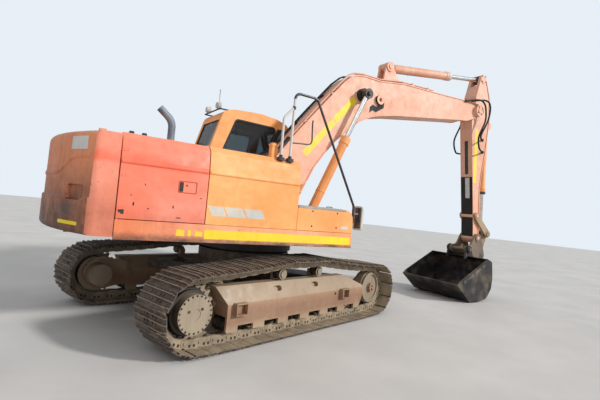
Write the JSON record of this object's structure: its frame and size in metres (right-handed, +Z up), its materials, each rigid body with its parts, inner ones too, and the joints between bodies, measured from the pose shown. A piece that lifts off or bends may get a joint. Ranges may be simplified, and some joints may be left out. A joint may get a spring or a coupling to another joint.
{
  "type": "crawler excavator",
  "caption": "Crawler excavator with steel tracks, a slewing upper body with cab, boom, arm and a wide smooth-lipped digging bucket on a quick hitch.",
  "frame": {"origin": "on the ground under the swing axis", "axes": "+X the way the boom points, +Y towards the cab's side (machine's left), +Z up"},
  "size_m": [9.0776, 4.0186, 5.1504],
  "materials": {
    "track_steel": "worn, dusty",
    "dark_steel": "oily dark",
    "dark_paint": "dusty dark paint",
    "weight_paint": "weathered",
    "engine_iron": "matte",
    "orange_paint": "faded satin",
    "salmon_paint": "faded matte",
    "faded_paint": "weathered matte",
    "hitch_paint": "worn",
    "tread_plate": "rough non-slip",
    "exhaust_steel": "heat stained",
    "rod_chrome": "polished",
    "window_glass": "dusty tinted",
    "seat_fabric": "woven",
    "dark_plastic": "matte",
    "bucket_steel": "bare worn steel"
  },
  "bodies": {
    "undercarriage": {"car_body": "track_steel", "swing_ring": "dark_steel", "track_frame_left": "track_steel", "track_frame_right": "track_steel", "track_left": "track_steel", "track_right": "track_steel", "final_drive_left": "dark_steel", "final_drive_right": "dark_steel", "idler_left": "track_steel", "idler_right": "track_steel", "rollers_left": "dark_steel", "rollers_right": "dark_steel"},
    "upper_body": {"swing_frame": "dark_paint", "counterweight": "weight_paint", "engine": "engine_iron", "house_panels": "orange_paint", "tank": "orange_paint", "toolbox": "orange_paint", "side_cover": "orange_paint", "cab_shell": "orange_paint", "cab_glass": "window_glass", "seat": "seat_fabric", "cab_consoles": "dark_plastic", "handrails": "orange_paint", "exhaust": "exhaust_steel", "work_lamps": "dark_plastic", "side_mirror": "dark_plastic"},
    "hood": {"engine_hood": "orange_paint"},
    "pump_bay_door": {"pump_door": "salmon_paint"},
    "radiator_bay_door": {"radiator_door": "orange_paint"},
    "box_lid": {"toolbox_lid": "tread_plate"},
    "operator_door": {"cab_door": "orange_paint", "cab_door_glass": "window_glass"},
    "boom_group": {"boom": "faded_paint", "boom_pipes": "dark_steel"},
    "boom_barrels": {"boom_cylinder_barrels": "faded_paint"},
    "boom_rods": {"boom_cylinder_rods": "rod_chrome"},
    "arm_barrel": {"arm_cylinder_barrel": "faded_paint"},
    "arm_rod": {"arm_cylinder_rod": "rod_chrome"},
    "arm_group": {"arm": "faded_paint"},
    "bucket_barrel": {"bucket_cylinder_barrel": "faded_paint"},
    "bucket_rod": {"bucket_cylinder_rod": "rod_chrome"},
    "rocker": {"rocker_links": "faded_paint"},
    "link": {"power_link": "faded_paint"},
    "bucket_group": {"quick_hitch": "hitch_paint", "bucket": "bucket_steel"}
  },
  "joints": [
    {"name": "swing", "type": "hinge", "parent": "undercarriage", "child": "upper_body", "pos_m": [0, 0, 1], "axis": [0, 0, 1], "continuous": true},
    {"name": "engine_hood_hinge", "type": "hinge", "parent": "upper_body", "child": "hood", "pos_m": [-2.104, 0, 2.2053], "axis": [0, -1, 0], "range_deg": [0, 75]},
    {"name": "pump_door_hinge", "type": "hinge", "parent": "upper_body", "child": "pump_bay_door", "pos_m": [-2.128, -1.353, 1.7], "axis": [0, 0, -1], "range_deg": [0, 100]},
    {"name": "radiator_door_hinge", "type": "hinge", "parent": "upper_body", "child": "radiator_bay_door", "pos_m": [-2.128, 1.353, 1.7], "axis": [0, 0, 1], "range_deg": [0, 100]},
    {"name": "toolbox_lid_hinge", "type": "hinge", "parent": "upper_body", "child": "box_lid", "pos_m": [0.071, -0.93, 1.659], "axis": [0, -1, 0], "range_deg": [0, 85]},
    {"name": "cab_door_hinge", "type": "hinge", "parent": "upper_body", "child": "operator_door", "pos_m": [-0.496, 1.351, 1.9], "axis": [0, 0, 1], "range_deg": [0, 110]},
    {"name": "boom_pivot", "type": "hinge", "parent": "upper_body", "child": "boom_group", "pos_m": [0.22, 0, 1.93], "axis": [0, -1, 0], "range_deg": [-60, 38]},
    {"name": "boom_cylinder_pivot", "type": "hinge", "parent": "upper_body", "child": "boom_barrels", "pos_m": [0.88, 0, 1.42], "axis": [0, -1, 0], "range_deg": [-59.5, 37.8]},
    {"name": "boom_cylinder_stroke", "type": "slide", "parent": "boom_barrels", "child": "boom_rods", "axis": [0.4147, 0, 0.91], "range_m": [-0.785, 0.497]},
    {"name": "arm_pivot", "type": "hinge", "parent": "boom_group", "child": "arm_group", "pos_m": [5.43286, 0, 4.23567], "axis": [0, 1, 0], "range_deg": [-72, 50]},
    {"name": "arm_cylinder_pivot", "type": "hinge", "parent": "boom_group", "child": "arm_barrel", "pos_m": [2.6889, 0, 4.53097], "axis": [0, 1, 0], "range_deg": [-5.2, 3.7]},
    {"name": "arm_cylinder_stroke", "type": "slide", "parent": "arm_barrel", "child": "arm_rod", "axis": [0.9851, 0, 0.1721], "range_m": [-0.915, 0.635]},
    {"name": "bucket_pivot", "type": "hinge", "parent": "arm_group", "child": "bucket_group", "pos_m": [5.85438, 0, 1.34625], "axis": [0, 1, 0], "range_deg": [-120, 20]},
    {"name": "rocker_pivot", "type": "hinge", "parent": "arm_group", "child": "rocker", "pos_m": [5.74963, 0, 1.85648], "axis": [0, 1, 0], "range_deg": [-73.7, 12.4]},
    {"name": "bucket_cylinder_pivot", "type": "hinge", "parent": "arm_group", "child": "bucket_barrel", "pos_m": [6.06988, 0, 4.02542], "axis": [0, 1, 0], "range_deg": [-5.3, 1]},
    {"name": "bucket_cylinder_stroke", "type": "slide", "parent": "bucket_barrel", "child": "bucket_rod", "axis": [0.0673, 0, -0.9977], "range_m": [-0.75, 0.126]},
    {"name": "link_pivot", "type": "hinge", "parent": "bucket_group", "child": "link", "pos_m": [6.0656, 0, 0.93746], "axis": [0, -1, 0], "range_deg": [-113.7, 19]}
  ],
  "couplings": [
    {"joint": "boom_cylinder_pivot", "follows": "boom_pivot", "ratio": 0.9873},
    {"joint": "boom_cylinder_stroke", "follows": "boom_pivot", "m_per_rad": 0.7469},
    {"joint": "arm_cylinder_pivot", "follows": "arm_pivot", "ratio": 0.0707},
    {"joint": "arm_cylinder_stroke", "follows": "arm_pivot", "m_per_rad": 0.7244},
    {"joint": "rocker_pivot", "follows": "bucket_pivot", "ratio": 0.61257},
    {"joint": "bucket_cylinder_pivot", "follows": "bucket_pivot", "ratio": 0.04284},
    {"joint": "bucket_cylinder_stroke", "follows": "bucket_pivot", "m_per_rad": 0.35703},
    {"joint": "link_pivot", "follows": "bucket_pivot", "ratio": 0.94559}
  ]
}
